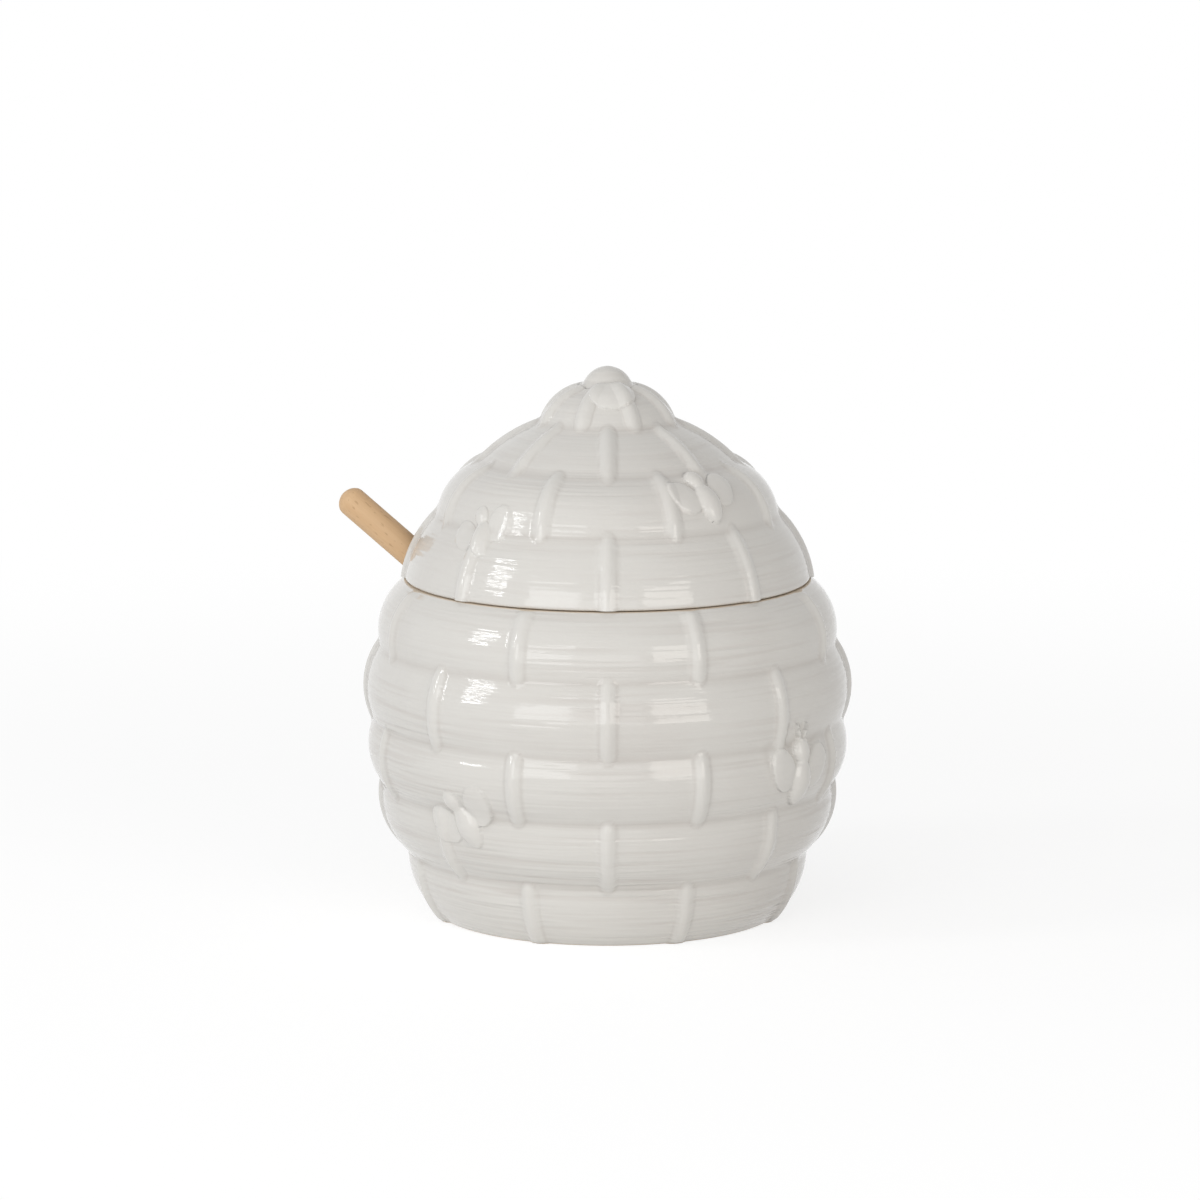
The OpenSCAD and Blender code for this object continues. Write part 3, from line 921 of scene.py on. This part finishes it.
view = {
    "place": (-0.00195, -1.430, 0.3283),
    "tilt": 80.21,
    "lens": 167.4,
    "lights": [
        {"name": "windowLeft", "turn": -68, "rise": 26, "wide": 12, "tall": 21, "bars": 4, "radiance": 11.5,
         "tint": (0.98, 1, 1.02)},
        {"name": "softLeft", "turn": -31, "rise": 12, "wide": 27, "tall": 26, "bars": 1, "radiance": 2.3,
         "tint": (0.98, 1, 1.02)},
        {"name": "softRight", "turn": 35, "rise": 12, "wide": 26, "tall": 25, "bars": 1, "radiance": 2.5,
         "tint": (1.03, 0.985, 0.93)},
        {"name": "frontFill", "turn": 0, "rise": 3, "wide": 34, "tall": 26, "bars": 1, "radiance": 0.8,
         "tint": (1, 1, 1)},
    ],
    "barShare": 0.42,
    "lightDistance": 1.3,
    "lookAt": (0, 0, 0.07),
    "surroundings": 0.46,
    "brighterSide": (-0.22, -0.16, 0.03),
    "floorColour": (0.88, 0.88, 0.88),
    "floorGlow": 0.4,
    "floorWhiteness": 0.6,
    "floorFade": (0.2, 0.6),
}


def addCamera():
    bpy.ops.object.camera_add(location=view["place"], rotation=(math.radians(view["tilt"]), 0, 0))
    camera = bpy.context.object
    camera.data.sensor_width = 36
    camera.data.lens = view["lens"]
    camera.data.clip_end = 20
    bpy.context.scene.camera = camera


def addLight(name, turn, rise, wide, tall, bars, radiance, tint):
    # a panel seen from the pot at that turn to the right of the camera and that rise, with turn,
    # rise, wide and tall all in degrees
    distance = view["lightDistance"]
    across = 2 * distance * math.tan(math.radians(wide / 2))
    high = 2 * distance * math.tan(math.radians(tall / 2)) / bars
    for bar in range(bars):
        up = math.radians(rise + tall * ((bar + 0.5) / bars - 0.5))
        side = math.radians(turn)
        toward = Vector((math.sin(side) * math.cos(up), -math.cos(side) * math.cos(up), math.sin(up)))
        bpy.ops.object.light_add(type="AREA", location=Vector(view["lookAt"]) + toward * distance)
        lamp = bpy.context.object
        lamp.name = f"{name}_{bar}"
        lamp.rotation_euler = toward.to_track_quat("Z", "Y").to_euler()
        lamp.data.shape = "RECTANGLE"
        lamp.data.size = across
        lamp.data.size_y = high * (1 if bars == 1 else view["barShare"])
        lamp.data.energy = radiance * math.pi * lamp.data.size * lamp.data.size_y
        lamp.data.color = tint


def seenOrMirrored(recipe):
    # 1 for rays from the camera, and for those that gloss and glass send on
    rays = recipe.make("LightPath", {}, {}).socket.node.outputs
    seen = recipe.make("Math", {"operation": "MAXIMUM"},
                       {0: Value(recipe, rays["Is Camera Ray"]), 1: Value(recipe, rays["Is Glossy Ray"])})
    return recipe.make("Math", {"operation": "MAXIMUM"},
                       {0: seen, 1: Value(recipe, rays["Is Transmission Ray"])})


def addFloor():
    # pale, with the pot's shadow near it, and plain white further off
    bpy.ops.mesh.primitive_plane_add(size=8, location=(0, 0, 0))
    floor = bpy.context.object
    floor.name = "floor"
    recipe = Recipe(bpy.data.materials.new("floorWhite"))
    seen = seenOrMirrored(recipe)
    x, y = recipe.parts(recipe.make("TexCoord", {}, {}, 3))[:2]
    away = recipe.make("Math", {"operation": "SQRT"}, {0: x * x + y * y}).step(*view["floorFade"])
    recipe.feed(recipe.shader.inputs["Base Color"], view["floorColour"])
    recipe.shader.inputs["Roughness"].default_value = 0.9
    recipe.shader.inputs["Specular IOR Level"].default_value = 0
    recipe.feed(recipe.shader.inputs["Emission Color"], recipe.mixed(seen, (0, 0, 0), (1, 1, 1)))
    recipe.shader.inputs["Emission Strength"].default_value = view["floorGlow"]
    white = recipe.make("Emission", {}, {"Strength": 1})
    whiteness = seen * (away * (1 - view["floorWhiteness"]) + view["floorWhiteness"])
    pale = Value(recipe, recipe.shader.outputs[0])
    both = recipe.make("MixShader", {}, {0: whiteness, 1: pale, 2: white})
    recipe.tree.links.new(both.socket, recipe.tree.nodes["Material Output"].inputs["Surface"])
    floor.data.materials.append(recipe.owner)


def lightWorld():
    world = bpy.data.worlds.new("surroundings")
    bpy.context.scene.world = world
    recipe = Recipe(world)
    seen = seenOrMirrored(recipe)
    backdrop = recipe.tree.nodes["Background"]
    direction = recipe.make("TexCoord", {}, {}, 0)
    lean = recipe.make("VectorMath", {"operation": "DOT_PRODUCT"},
                       {0: direction, 1: view["brighterSide"]}, 1)
    plain = lean + view["surroundings"]
    backdrop.inputs["Strength"].default_value = 1
    recipe.feed(backdrop.inputs["Color"], seen * (1 - plain) + plain)


addCamera()
for light in view["lights"]:
    addLight(**light)
addFloor()
lightWorld()
bpy.context.scene.view_settings.view_transform = "Standard"
print("stage: camera and light set")
